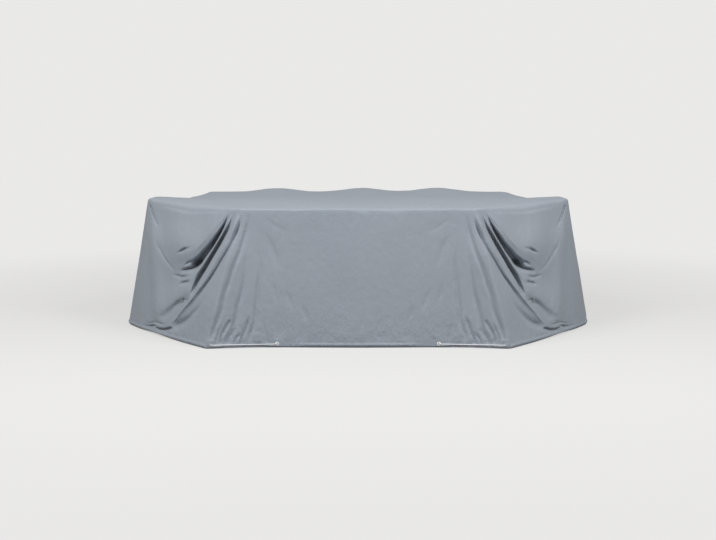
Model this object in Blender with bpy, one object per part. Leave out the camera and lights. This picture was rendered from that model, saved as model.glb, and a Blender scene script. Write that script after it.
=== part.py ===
"""A patio furniture cover, as it hangs over the set that it protects.

One cloth shell with its hem, two draw cords outside it, the eyelet that each runs through, and the knots
behind the hem that it ends in. Metres, +Z up, the front towards -Y, and the origin on the ground under the
middle of the cover. Tables give the right half, towards +X, and the left half is its mirror image with small
differences.
"""

import math

import bmesh
import bpy
import numpy as np
from mathutils import Matrix, Vector

# Driving dimensions
TOP_HEIGHT = 0.76
CLOTH_THICKNESS = 0.0025
GAP = 0.0005
CORD_DIAMETER = 0.006
EYELET_DIAMETER = 0.022
EYELET_HOLE = 0.010
EYELET_FLANGE = 0.0012
EYELET_WALL = 0.0012
EYELET_GAP = 0.0004
EYELET_STEPS = 20
CORNER_HOLE = 0.0085
KNOT_DIAMETER = 0.016

# The cover's outline. The cloth runs in straight lines from the top edge to the hem, and fans out below the
# two corners that carry it. Each row is a place on the top edge and the place on the hem straight below it.
# name, top x, top y, top rise, hem x, hem y, hem lift, roll of the top edge, columns since the row before
STATIONS = (
    ("front_centre", 0.000, -0.683, 0.000, 0.000, -0.738, 0.000, 0.012, 0),
    ("eyelet_inner", 0.386, -0.683, 0.000, 0.430, -0.727, 0.000, 0.012, 4),
    ("eyelet_outer", 0.426, -0.683, 0.000, 0.476, -0.726, 0.000, 0.012, 1),
    ("front_plain", 0.570, -0.683, 0.000, 0.620, -0.733, 0.000, 0.012, 3),
    ("corner_inner", 0.618, -0.683, 0.000, 0.710, -0.748, 0.000, 0.012, 5),
    ("corner", 0.646, -0.676, 0.000, 0.836, -0.770, 0.000, 0.014, 8),
    ("corner_outer", 0.672, -0.648, 0.000, 0.970, -0.608, 0.000, 0.018, 8),
    ("panel_front", 0.700, -0.615, 0.000, 1.060, -0.492, 0.000, 0.024, 6),
    ("panel_middle", 0.955, -0.318, -0.006, 1.110, -0.425, 0.000, 0.045, 6),
    ("panel_back", 1.200, -0.040, 0.000, 1.150, -0.368, 0.000, 0.030, 6),
    ("end_fan", 1.232, -0.006, 0.002, 1.176, -0.330, 0.000, 0.020, 2),
    ("end_eyelet", 1.240, 0.004, 0.003, 1.206, -0.288, 0.000, 0.018, 1),
    ("end_slope", 1.260, 0.030, 0.004, 1.300, -0.155, 0.000, 0.018, 4),
    ("end_front", 1.268, 0.060, 0.006, 1.404, 0.030, 0.000, 0.020, 4),
    ("end_back", 1.258, 0.235, 0.006, 1.406, 0.300, 0.000, 0.025, 4),
    ("rear_hollow", 1.110, 0.390, -0.022, 1.245, 0.560, 0.000, 0.045, 5),
    ("rear_fan", 0.992, 0.600, -0.004, 1.110, 0.710, 0.000, 0.030, 4),
    ("rear_shoulder", 0.972, 0.690, 0.000, 1.060, 0.758, 0.000, 0.020, 2),
    ("rear_plain", 0.900, 0.703, 0.000, 0.970, 0.766, 0.000, 0.020, 2),
    ("rear_centre", 0.000, 0.705, 0.000, 0.000, 0.768, 0.000, 0.020, 5),
)
CORNER_SOFTNESS = 1.6  # columns over which a corner of the outline is rounded

# Where each cord goes through the hem, in a flat patch one column wide: an eyelet on the front, and a plain
# hole at the corner. name, first column of the patch
CORD_HOLES = (
    ("front", 4),
    ("corner", 19),
)
PATCH_RING = 1.945  # from here down to the hem
HOLE_RING = 1.972

CORD_BEND = 0.0168  # where the cord turns from its hole along the hem
CORD_SPAN_POINTS = 4
CORD_MIDDLE = ((0.500, -0.7450), (0.620, -0.7568), (0.735, -0.7685))  # x, y of the taut stretch, right half

SPINE_REACH = 0.68  # the top closes on a middle line, this share of its outline's half length
SPINE_Y = 0.02

# Rings of the cloth. -1 to 0 lies on the top, from the middle line to the edge; 0 to 1 goes round the edge;
# 1 to 2 goes down the wall to the hem.
TOP_RINGS = (-0.60, -0.45, -0.32, -0.22, -0.14, -0.07)
EDGE_RINGS = 5
WALL_RINGS = 90
COLUMN_STEPS = 5  # fine columns to each column of the outline
CLOTH_TRIANGLES = 5600  # of the outer face, gathered where the folds are

# What stands under the cloth and lifts the top. name, x, y, height, x size, y size
TOP_BUMPS = (
    ("rear_left_back", -0.530, 0.690, 0.024, 0.165, 0.200),
    ("rear_middle_back", 0.030, 0.690, 0.026, 0.165, 0.200),
    ("rear_right_back", 0.520, 0.690, 0.025, 0.165, 0.200),
)
BUMP_HANG = 0.30

# Folds of the wall, seen straight from the front, so x and z in metres. A trough has a depth above 0 and a
# ridge one below 0. It moves the cloth along Y ("front") or square to the wall ("out").
# The widths of a fold that runs down are on the side of the cover's end and on the side of its middle. Those
# of one that hangs from both corners are above and below it. Its sides are round (edge 2) or steep (4).
# name, way, depth, first width, second width, edge, share of width at start, grows over, fades over, path
FOLDS = (
    ("main_swag", "front", -0.034, 0.075, 0.026, 2, 0.40, 0.30, 0.70,
     ((0.717, 0.738), (0.757, 0.682), (0.808, 0.624), (0.862, 0.570), (0.914, 0.525), (0.962, 0.485),
      (1.012, 0.448), (1.070, 0.432), (1.131, 0.470), (1.170, 0.540), (1.217, 0.640))),
    ("deep_trough", "front", 0.130, 0.030, 0.018, 3, 0.15, 1.00, 0.22,
     ((0.706, 0.735), (0.727, 0.695), (0.750, 0.650), (0.779, 0.601), (0.809, 0.552), (0.844, 0.505),
      (0.881, 0.458), (0.910, 0.428), (0.935, 0.408))),
    ("trough_tail", "front", 0.050, 0.010, 0.013, 2, 0.90, 0.10, 0.70,
     ((0.871, 0.457), (0.903, 0.428), (0.929, 0.408), (0.962, 0.400), (0.995, 0.388), (1.022, 0.377))),
    ("thin_ridge", "front", -0.014, 0.008, 0.008, 2, 0.60, 0.20, 0.30,
     ((0.695, 0.734), (0.712, 0.697), (0.732, 0.651), (0.760, 0.604), (0.787, 0.557), (0.816, 0.510),
      (0.849, 0.463), (0.882, 0.417), (0.918, 0.369), (0.940, 0.341), (0.978, 0.298))),
    ("second_trough", "front", 0.060, 0.011, 0.011, 4, 0.50, 0.40, 0.30,
     ((0.676, 0.736), (0.691, 0.699), (0.712, 0.653), (0.739, 0.606), (0.767, 0.559), (0.795, 0.515),
      (0.824, 0.468), (0.853, 0.419), (0.883, 0.372), (0.908, 0.326), (0.924, 0.285), (0.938, 0.255))),
    ("second_ridge", "front", -0.018, 0.014, 0.014, 2, 0.60, 0.15, 0.20,
     ((0.655, 0.739), (0.665, 0.701), (0.683, 0.656), (0.706, 0.611), (0.730, 0.565), (0.758, 0.518),
      (0.786, 0.472), (0.812, 0.425), (0.853, 0.355), (0.884, 0.309), (0.947, 0.225), (0.999, 0.165),
      (1.040, 0.112), (1.078, 0.071))),
    ("third_trough", "front", 0.026, 0.008, 0.008, 2, 0.60, 0.25, 0.30,
     ((0.633, 0.731), (0.642, 0.698), (0.656, 0.656), (0.675, 0.612), (0.696, 0.567), (0.721, 0.523),
      (0.748, 0.478), (0.776, 0.431), (0.807, 0.384), (0.842, 0.337), (0.874, 0.289), (0.906, 0.240),
      (0.945, 0.190))),
    ("front_bulge", "front", -0.030, 0.075, 0.070, 2, 0.40, 0.35, 0.30,
     ((0.655, 0.680), (0.730, 0.480), (0.810, 0.290), (0.880, 0.110))),
    ("fourth_trough", "front", 0.036, 0.024, 0.010, 2, 0.40, 0.80, 0.20,
     ((0.831, 0.296), (0.856, 0.250), (0.880, 0.208), (0.912, 0.171), (0.943, 0.134), (0.981, 0.101),
      (1.021, 0.074), (1.041, 0.050))),
    ("second_swag", "front", -0.030, 0.055, 0.034, 2, 0.45, 0.35, 0.50,
     ((0.880, 0.410), (0.905, 0.370), (0.932, 0.329), (0.964, 0.295), (1.003, 0.261), (1.044, 0.227),
      (1.083, 0.178), (1.109, 0.152), (1.160, 0.120))),
    ("under_swag", "front", 0.018, 0.018, 0.016, 2, 0.60, 0.30, 0.40,
     ((0.990, 0.228), (1.008, 0.212), (1.042, 0.184), (1.075, 0.151), (1.108, 0.112), (1.144, 0.086))),
    ("eye_crease_1", "front", 0.030, 0.007, 0.011, 2, 0.60, 0.45, 0.55,
     ((1.045, 0.480), (0.990, 0.503), (0.965, 0.517), (0.915, 0.527))),
    ("eye_crease_2", "front", 0.018, 0.007, 0.009, 2, 0.60, 0.40, 0.35,
     ((1.076, 0.352), (1.041, 0.350), (1.007, 0.348), (0.980, 0.355), (0.953, 0.366))),
    ("eye_crease_3", "front", 0.026, 0.008, 0.010, 2, 0.60, 0.40, 0.35,
     ((1.032, 0.302), (0.995, 0.318), (0.966, 0.328), (0.935, 0.342))),
    ("end_swag", "front", 0.016, 0.012, 0.024, 2, 0.60, 0.30, 0.30,
     ((1.176, 0.575), (1.153, 0.490), (1.130, 0.429), (1.098, 0.386), (1.070, 0.352))),
    ("end_crease", "front", 0.032, 0.008, 0.009, 2, 0.60, 0.20, 0.25,
     ((1.240, 0.712), (1.207, 0.654), (1.168, 0.600))),
    ("end_ridge", "out", -0.018, 0.050, 0.050, 2, 0.40, 0.30, 0.20,
     ((1.245, 0.735), (1.190, 0.502), (1.162, 0.250), (1.150, 0.030))),
    ("front_pleat_1", "front", 0.018, 0.015, 0.013, 2, 0.60, 0.15, 0.45,
     ((0.586, 0.756), (0.608, 0.647), (0.641, 0.536), (0.680, 0.438), (0.710, 0.345), (0.732, 0.284),
      (0.743, 0.223), (0.762, 0.167), (0.781, 0.121), (0.792, 0.088), (0.803, 0.020))),
    ("front_pleat_2", "front", 0.016, 0.016, 0.013, 2, 0.60, 0.40, 0.20,
     ((0.592, 0.657), (0.609, 0.508), (0.620, 0.401), (0.637, 0.298), (0.659, 0.224), (0.668, 0.177),
      (0.681, 0.126), (0.695, 0.079), (0.711, 0.056), (0.717, 0.010))),
    ("front_pleat_3", "front", 0.014, 0.013, 0.011, 2, 0.60, 0.30, 0.10,
     ((0.548, 0.671), (0.544, 0.536), (0.534, 0.438), (0.547, 0.317), (0.551, 0.261), (0.559, 0.214),
      (0.563, 0.154), (0.576, 0.107), (0.588, 0.075), (0.584, 0.015))),
    ("front_pleat_4", "front", 0.009, 0.020, 0.018, 2, 0.60, 0.40, 0.40,
     ((0.499, 0.629), (0.473, 0.564), (0.451, 0.494), (0.429, 0.415))),
    ("hem_pleat_1", "front", 0.011, 0.010, 0.009, 2, 0.60, 0.30, 0.20,
     ((0.697, 0.160), (0.706, 0.144), (0.724, 0.112), (0.738, 0.088), (0.747, 0.070), (0.749, 0.010))),
    ("hem_pleat_2", "front", 0.010, 0.010, 0.009, 2, 0.60, 0.30, 0.20,
     ((0.590, 0.185), (0.603, 0.144), (0.617, 0.102), (0.628, 0.075), (0.638, 0.051), (0.642, 0.010))),
    ("corner_pucker_1", "front", 0.030, 0.008, 0.008, 2, 0.70, 0.20, 0.25,
     ((1.056, 0.068), (1.083, 0.054), (1.112, 0.040), (1.148, 0.032), (1.195, 0.034))),
    ("corner_pucker_2", "front", 0.018, 0.008, 0.008, 2, 0.60, 0.30, 0.35,
     ((1.099, 0.075), (1.135, 0.068), (1.171, 0.069), (1.225, 0.051), (1.280, 0.046))),
)

# The right half's folds lie this much nearer the middle, and have this share of the depth
RIGHT_SHIFT = 0.003
RIGHT_DEPTH = 0.96

# Soft bulges of the wall, seen from the front. name, way, height, x, z, x size, z size
BULGES = (
    ("panel_belly", "front", 0.060, 1.010, 0.530, 0.140, 0.130),
)


def eased(value):
    """0 below 0, 1 above 1 and a smooth step between."""
    value = np.clip(value, 0, 1)
    return value * value * (3 - 2 * value)


def smooth_path(points, span_points):
    """A smooth curve through all the given points, with span_points steps from each one to the next."""
    points = np.array(points, float)
    length = np.linalg.norm(np.diff(points, axis=0), axis=1, keepdims=True)
    slope = np.diff(points, axis=0) / length
    tangent = np.vstack((slope[:1], slope, slope[-1:]))
    reach = np.vstack((length[:1], length, length[-1:]))
    tangent = (tangent[:-1] * reach[1:] + tangent[1:] * reach[:-1]) / (reach[:-1] + reach[1:])
    tangent[0] = 1.5 * slope[0] - 0.5 * tangent[1]
    tangent[-1] = 1.5 * slope[-1] - 0.5 * tangent[-2]
    tangent /= np.linalg.norm(tangent, axis=1, keepdims=True)
    place = np.linspace(0, len(points) - 1, span_points * (len(points) - 1) + 1)
    span = np.minimum(place.astype(int), len(points) - 2)
    t = (place - span)[:, None]
    start, end = points[span], points[span + 1]
    return (
        start * (1 - t) ** 2 * (1 + 2 * t)
        + end * t**2 * (3 - 2 * t)
        + tangent[span] * length[span] * t * (1 - t) ** 2
        - tangent[span + 1] * length[span] * t**2 * (1 - t)
    )


STATION_COLUMNS = np.cumsum([row[-1] for row in STATIONS])
HALF_COLUMNS = int(STATION_COLUMNS[-1])


def outline(columns):
    """Top x, y, rise, hem x, y, lift and edge roll at columns, which are below 0 on the left half."""
    table = np.array([row[1:8] for row in STATIONS])
    rounding = np.linspace(-1, 1, 11)
    weights = np.cos(rounding * math.pi / 2) ** 2
    total = 0
    for shift, weight in zip(rounding, weights / weights.sum()):
        shifted = (columns + shift * CORNER_SOFTNESS + HALF_COLUMNS) % (2 * HALF_COLUMNS) - HALF_COLUMNS
        values = [np.interp(np.abs(shifted), STATION_COLUMNS, column) for column in table.T]
        values[0] = values[0] * np.sign(shifted)
        values[3] = values[3] * np.sign(shifted)
        total = total + weight * np.array(values)
    return total


def plain_surface(columns, ring):
    """Points of the cloth without folds, one for each column, on one ring."""
    top_x, top_y, rise, hem_x, hem_y, lift, roll = outline(columns)
    edge = np.stack((top_x, top_y, TOP_HEIGHT + rise), -1)
    hem = np.stack((hem_x, hem_y, lift), -1)
    spine = np.stack((top_x * SPINE_REACH, np.full_like(top_x, SPINE_Y), edge[:, 2]), -1)
    inward = spine - edge
    inward /= np.linalg.norm(inward, axis=1, keepdims=True)
    down = hem - edge
    down /= np.linalg.norm(down, axis=1, keepdims=True)
    roll = roll[:, None]
    roll_start = edge + inward * roll
    roll_end = edge + down * roll
    if ring <= 0:
        points = roll_start + (spine - roll_start) * -ring
        points[:, 2] = TOP_HEIGHT + rise * (1 + ring) ** 2
    elif ring < 1:
        points = roll_start * (1 - ring) ** 2 + edge * 2 * ring * (1 - ring) + roll_end * ring**2
    else:
        points = roll_end + (hem - roll_end) * (ring - 1)
    return points


def outward(columns):
    """The level direction that points out of the wall at each column."""
    ahead = outline(columns + 1.0)
    behind = outline(columns - 1.0)
    run_x = (ahead[0] + ahead[3]) - (behind[0] + behind[3])
    run_y = (ahead[1] + ahead[4]) - (behind[1] + behind[4])
    direction = np.stack((run_y, -run_x, np.zeros_like(run_x)), -1)
    return direction / np.linalg.norm(direction, axis=1, keepdims=True)


def fold_field(x, z):
    """How far the folds push the wall, at each x and z of the front half: to the front, and outward."""
    right = eased(x * 4 + 0.5)
    place = np.stack((np.abs(x) + RIGHT_SHIFT * right, z), -1)[:, None, :]
    push = {"front": np.zeros(len(x)), "out": np.zeros(len(x))}
    for name, way, depth, first, second, edge, narrow, grows, fades, path in FOLDS:
        line = smooth_path(path, 8)
        step = np.diff(line, axis=0)
        offset = place - line[:-1]
        along = np.clip((offset * step).sum(-1) / (step**2).sum(-1), 0, 1)
        away = offset - along[..., None] * step
        turn = step[:, 0] * away[..., 1] - step[:, 1] * away[..., 0]
        share = (np.arange(len(step)) + along) / len(step)
        width = np.where(turn > 0, first, second) * (narrow + (1 - narrow) * eased(share / grows))
        swell = eased(share / grows) * eased((1 - share) / fades)
        push[way] -= depth * (swell * np.exp(-(np.linalg.norm(away, axis=-1) / width) ** edge)).max(axis=1)
    for name, way, height, middle_x, middle_z, size_x, size_z in BULGES:
        spread = ((np.abs(x) - middle_x) / size_x) ** 2 + ((z - middle_z) / size_z) ** 2
        push[way] += height * np.exp(-spread)
    share = 1 - (1 - RIGHT_DEPTH) * right
    return push["front"] * share, push["out"] * share


def top_bumps(x, y):
    total = np.zeros(len(x))
    for name, middle_x, middle_y, height, size_x, size_y in TOP_BUMPS:
        total += height * np.exp(-(((x - middle_x) / size_x) ** 2) - ((y - middle_y) / size_y) ** 2)
    return total


def cover_surface(columns, rings):
    """The cloth's outer face as an array of points, ring by ring and column by column."""
    direction = outward(columns)
    surface = []
    for ring in rings:
        points = plain_surface(columns, ring)
        x, y, z = points.T
        hang = eased((z - TOP_HEIGHT + BUMP_HANG) / BUMP_HANG)
        if ring > 1:
            front = eased((0.12 - y) / 0.14)
            edge_fade = eased((TOP_HEIGHT - 0.004 - z) / 0.035) * eased((z - 0.004) / 0.03)
            to_front, out = fold_field(x, z) * front * edge_fade
            points = points + direction * out[:, None]
            points[:, 1] -= to_front
        points[:, 2] += top_bumps(x, y) * hang
        surface.append(points)
    return np.array(surface)


def all_columns():
    return np.arange(-HALF_COLUMNS * COLUMN_STEPS, HALF_COLUMNS * COLUMN_STEPS) / COLUMN_STEPS


def all_rings():
    edge = np.linspace(0, 1, EDGE_RINGS, endpoint=False)
    wall = np.linspace(1, 2, WALL_RINGS)
    return np.concatenate((TOP_RINGS, edge, wall))


def hole_places():
    """Name, first column, middle and outward direction of each cord hole. The middle is halfway through."""
    places = []
    for side, half in ((-1, "left"), (1, "right")):
        for name, first in CORD_HOLES:
            columns = side * np.array((first, first + 1.0))
            corners = np.array([plain_surface(columns, ring) for ring in (PATCH_RING, 2.0)])
            direction = side * Vector(np.cross(corners[1, 1] - corners[0, 0], corners[0, 1] - corners[1, 0]))
            direction = direction.normalized()
            down = (HOLE_RING - PATCH_RING) / (2 - PATCH_RING)
            middle = Vector(corners[0].mean(axis=0) * (1 - down) + corners[1].mean(axis=0) * down)
            middle -= direction * CLOTH_THICKNESS / 2
            places.append((f"{half}_{name}", side * first, middle, direction))
    return places


def flat_patches(surface, columns, rings, places):
    """Moves the cloth round each cord hole level onto the hole's plane, and tells where it did so."""
    flat = np.zeros(surface.shape[:2], bool)
    for name, first, middle, direction in places:
        centre = first + 0.5 * np.sign(first)
        patch = (rings[:, None] > PATCH_RING - 0.01) & (np.abs(columns - centre) < 0.51)
        level = np.array((direction.x, direction.y, 0))
        level /= level @ level
        above = (surface[patch] - middle) @ np.array(direction) - CLOTH_THICKNESS / 2
        surface[patch] -= above[:, None] * level
        flat |= patch
    return flat


def outer_face(places):
    """The cloth's outer face, its triangles thinned out where it is flat."""
    columns, rings = all_columns(), all_rings()
    surface = cover_surface(columns, rings)
    flat = flat_patches(surface, columns, rings, places)
    shape = bmesh.new()
    grid = [[shape.verts.new(point) for point in ring] for ring in surface]
    for above, below in zip(grid, grid[1:]):
        for here, there in zip(range(len(columns)), [*range(1, len(columns)), 0]):
            shape.faces.new((above[here], below[here], below[there], above[there]))
    middle = [shape.edges.get((first, second)) for first, second in zip(grid[0], grid[0][1:] + grid[0][:1])]
    bmesh.ops.triangle_fill(shape, use_beauty=True, edges=middle)
    bmesh.ops.recalc_face_normals(shape, faces=shape.faces)
    bmesh.ops.triangulate(shape, faces=shape.faces)
    fine = add_object("fine_cloth", shape, None)
    thinned = fine.vertex_groups.new(name="thinned")
    thinned.add(np.flatnonzero(~flat.ravel()).tolist(), 1.0, "REPLACE")
    thin = fine.modifiers.new("thin", "DECIMATE")
    thin.ratio = CLOTH_TRIANGLES / len(fine.data.polygons)
    thin.vertex_group = thinned.name
    graph = bpy.context.evaluated_depsgraph_get()
    mesh = bpy.data.meshes.new_from_object(fine.evaluated_get(graph))
    bpy.data.objects.remove(fine)
    return mesh


def cloth_shell(places):
    """The outer face and, one cloth thickness in, the inner one, joined along the hem."""
    shape = bmesh.new()
    shape.from_mesh(outer_face(places))
    shape.normal_update()
    inner = {}
    for corner in list(shape.verts):
        direction = corner.normal * corner.calc_shell_factor()
        if corner.is_boundary:
            corner.co.z = direction.z = 0
        inner[corner] = shape.verts.new(corner.co - direction * CLOTH_THICKNESS)
    rims = [edge for edge in shape.edges if edge.is_boundary]
    for face in list(shape.faces):
        shape.faces.new([inner[corner] for corner in reversed(face.verts)])
    for edge in rims:
        order = list(edge.link_faces[0].verts)
        first, second = edge.verts
        if order[(order.index(first) + 1) % len(order)] == second:
            first, second = second, first
        shape.faces.new((first, second, inner[second], inner[first]))
    return shape


def turned(profile, steps):
    """A closed ring turned round Z from a profile of radius and height."""
    shape = bmesh.new()
    corners = [shape.verts.new((radius, 0, height)) for radius, height in profile]
    edges = [shape.edges.new((corners[k], corners[(k + 1) % len(corners)])) for k in range(len(corners))]
    bmesh.ops.spin(
        shape,
        geom=corners + edges,
        cent=(0, 0, 0),
        axis=(0, 0, 1),
        angle=2 * math.pi,
        steps=steps,
        use_merge=True,
    )
    bmesh.ops.remove_doubles(shape, verts=shape.verts, dist=0.00001)
    bmesh.ops.recalc_face_normals(shape, faces=shape.faces)
    return shape


def eyelet_shape():
    """A barrel through the cloth with a flange on each face of it."""
    inner_face = CLOTH_THICKNESS / 2 + EYELET_GAP
    outer_face = inner_face + EYELET_FLANGE
    hole = EYELET_HOLE / 2
    barrel = hole + EYELET_WALL
    flange = EYELET_DIAMETER / 2
    profile = (
        (hole, -outer_face),
        (flange, -outer_face),
        (flange, -inner_face),
        (barrel, -inner_face),
        (barrel, inner_face),
        (flange, inner_face),
        (flange - EYELET_FLANGE / 2, outer_face),
        (hole, outer_face),
    )
    return turned(profile, EYELET_STEPS)


def knot_shape():
    shape = bmesh.new()
    bmesh.ops.create_uvsphere(shape, u_segments=16, v_segments=10, radius=KNOT_DIAMETER / 2)
    return shape


def knot_distance(name):
    """How far behind the middle of its hole a knot lies, pulled up to the eyelet or the cloth."""
    back, hole = CLOTH_THICKNESS / 2, CORNER_HOLE
    if name.endswith("front"):
        back, hole = back + EYELET_GAP + EYELET_FLANGE, EYELET_HOLE
    return back + math.sqrt((KNOT_DIAMETER / 2) ** 2 - (hole / 2) ** 2) + GAP


def finish(name, colour, roughness, metallic=0.0):
    material = bpy.data.materials.new(name)
    material.use_nodes = True
    shader = material.node_tree.nodes["Principled BSDF"]
    shader.inputs["Base Color"].default_value = (*colour, 1)
    shader.inputs["Roughness"].default_value = roughness
    shader.inputs["Metallic"].default_value = metallic
    return material


def add_object(name, shape, material, place=None):
    mesh = bpy.data.meshes.new(name)
    shape.to_mesh(mesh)
    shape.free()
    mesh.shade_smooth()
    if material is not None:
        mesh.materials.append(material)
    thing = bpy.data.objects.new(name, mesh)
    bpy.context.scene.collection.objects.link(thing)
    if place is not None:
        thing.matrix_world = place
    return thing


def facing(middle, direction):
    """The place of a turned piece with its axis along a direction."""
    return Matrix.Translation(middle) @ direction.to_track_quat("Z", "Y").to_matrix().to_4x4()


def hole_bend(name, middle, direction, onward):
    """Points of a cord that comes out of its hole, a gap off its knot, and bends to run along the cloth."""
    onward = (onward - direction * onward.dot(direction)).normalized()
    start = KNOT_DIAMETER / 2 + GAP - knot_distance(name)
    points = []
    for turn in (0, 30, 60, 90):
        out = start + CORD_BEND * math.sin(math.radians(turn))
        along = CORD_BEND * (1 - math.cos(math.radians(turn)))
        points.append(middle + direction * out + onward * along)
    return points


def cord_line(places, half, side):
    """The draw cord's line: out of the front eyelet, straight along the hem, and into the corner hole."""
    ends = {name: (name, middle, direction) for name, first, middle, direction in places}
    front, corner = ends[f"{half}_front"], ends[f"{half}_corner"]
    start = hole_bend(*front, corner[1] - front[1])
    stop = hole_bend(*corner, front[1] - corner[1])
    taut = []
    for x, y in CORD_MIDDLE:
        share = (x - abs(start[-1].x)) / (abs(stop[-1].x) - abs(start[-1].x))
        taut.append(Vector((side * x, y, start[-1].z * (1 - share) + stop[-1].z * share)))
    return smooth_path(start + taut + stop[::-1], CORD_SPAN_POINTS)


def add_cord(name, line, material):
    curve = bpy.data.curves.new(name, "CURVE")
    curve.dimensions = "3D"
    curve.bevel_depth = CORD_DIAMETER / 2
    curve.bevel_resolution = 2
    curve.use_fill_caps = True
    spline = curve.splines.new("POLY")
    spline.points.add(len(line) - 1)
    for point, place in zip(spline.points, line):
        point.co = (*place, 1)
    curve.materials.append(material)
    bpy.context.scene.collection.objects.link(bpy.data.objects.new(name, curve))


def add_cloth(places):
    cloth = add_object("cover_cloth", cloth_shell(places), finish("cover_cloth", (0.30, 0.33, 0.375), 0.85))
    for name, first, middle, direction in places:
        radius = CORNER_HOLE / 2
        if name.endswith("front"):
            radius = EYELET_HOLE / 2 + EYELET_WALL + EYELET_GAP
        shape = bmesh.new()
        bmesh.ops.create_cone(
            shape,
            cap_ends=True,
            segments=EYELET_STEPS,
            radius1=radius,
            radius2=radius,
            depth=CLOTH_THICKNESS * 4,
        )
        cutter = add_object(f"{name}_cutter", shape, cloth.data.materials[0], facing(middle, direction))
        cutter.hide_render = True
        cutter.display_type = "WIRE"
        cut = cloth.modifiers.new(f"{name}_hole", "BOOLEAN")
        cut.operation = "DIFFERENCE"
        cut.object = cutter


def main():
    for thing in list(bpy.data.objects):
        bpy.data.objects.remove(thing)
    places = hole_places()
    add_cloth(places)
    ring_finish = finish("eyelet", (0.78, 0.78, 0.80), 0.35)
    cord_finish = finish("draw_cord", (0.80, 0.80, 0.82), 0.8)
    for name, first, middle, direction in places:
        if name.endswith("front"):
            add_object(f"{name}_eyelet", eyelet_shape(), ring_finish, facing(middle, direction))
        knot = middle - direction * knot_distance(name)
        add_object(f"{name}_knot", knot_shape(), cord_finish, facing(knot, direction))
    for side, half in ((-1, "left"), (1, "right")):
        add_cord(f"{half}_draw_cord", cord_line(places, half, side), cord_finish)


if __name__ == "__main__":
    main()
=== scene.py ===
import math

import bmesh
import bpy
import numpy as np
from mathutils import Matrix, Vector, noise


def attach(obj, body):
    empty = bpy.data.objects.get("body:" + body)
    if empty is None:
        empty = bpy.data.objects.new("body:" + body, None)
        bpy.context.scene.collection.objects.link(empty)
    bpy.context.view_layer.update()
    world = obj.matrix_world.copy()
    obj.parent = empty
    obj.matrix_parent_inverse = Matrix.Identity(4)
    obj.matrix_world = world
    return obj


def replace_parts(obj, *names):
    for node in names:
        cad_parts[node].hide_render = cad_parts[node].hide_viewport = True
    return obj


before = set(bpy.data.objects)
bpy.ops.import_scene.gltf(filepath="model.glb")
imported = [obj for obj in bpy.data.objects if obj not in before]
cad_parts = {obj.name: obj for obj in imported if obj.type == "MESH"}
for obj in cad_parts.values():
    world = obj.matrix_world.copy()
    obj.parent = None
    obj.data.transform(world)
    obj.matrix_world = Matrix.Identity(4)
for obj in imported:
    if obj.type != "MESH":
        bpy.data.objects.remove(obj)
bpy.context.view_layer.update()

# %% [markdown]
# # A patio furniture cover
# A large cloth, flat on top, that hangs almost straight down in front and is pulled into deep slanting folds
# below the two front corners. A short white cord at each corner runs outside the hem, from an eyelet in the
# front to a hole at the corner, with a knot behind each.
#
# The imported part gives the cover's size and main folds. This lesson dresses it: a finer cloth with its small
# creases, slack and stitched hem, plaited cords, rolled eyelets, and a finish for each. Lengths are in metres
# where nothing else is said.


def put(name, data):
    """A new object in the scene, at the origin."""
    thing = bpy.data.objects.new(name, data)
    bpy.context.scene.collection.objects.link(thing)
    return thing


def add_piece(name, shape, material=None):
    """A smooth object from a bmesh, at the origin, with its place in its mesh."""
    mesh = bpy.data.meshes.new(name)
    shape.to_mesh(mesh)
    shape.free()
    mesh.shade_smooth()
    if material:
        mesh.materials.append(material)
    return put(name, mesh)


def triangles(piece):
    return sum(len(face.vertices) - 2 for face in piece.data.polygons)


# %% [markdown]
# ## Where the picture is taken from
# The photograph looks at the middle of the cover's front from standing height and some way off, a little
# downwards. A camera could be aimed with a constraint, but two numbers are enough here, because the picture
# is level and the cover lies square to it: a height, and one angle down.

# %% The camera
PICTURE_WIDTH = 716
CAMERA_PLACE = (0, -7.485, 1.32)
CAMERA_DOWN = math.radians(7.5)
FOCAL_PIXELS = 1250  # how many pixels wide a thing as wide as its distance is

camera = put("photo_camera", bpy.data.cameras.new("photo_camera"))
camera.location = CAMERA_PLACE
camera.rotation_euler = (math.pi / 2 - CAMERA_DOWN, 0, 0)
camera.data.lens = camera.data.sensor_width * FOCAL_PIXELS / PICTURE_WIDTH
bpy.context.scene.camera = camera
print(f"lens {camera.data.lens:.1f} mm")

# %% [markdown]
# ## The plain shape of the cover
# Without its folds, the cover is a set of straight lines that run from the edge of its top to its hem. A box
# would miss the slanting corners. A table of places on the top edge, each with the place on the hem straight
# below it, gives them in a few rows, and every other line is found between two rows. The rows are the right
# half. The left half is its mirror image.

# %% The outline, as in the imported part
TOP_HEIGHT = 0.76
HEM_THICKNESS = 0.0025
SPINE_REACH = 0.68  # the top closes on a middle line, this share of its outline's half length
SPINE_Y = 0.02
CORNER_SOFTNESS = 1.6

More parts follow.
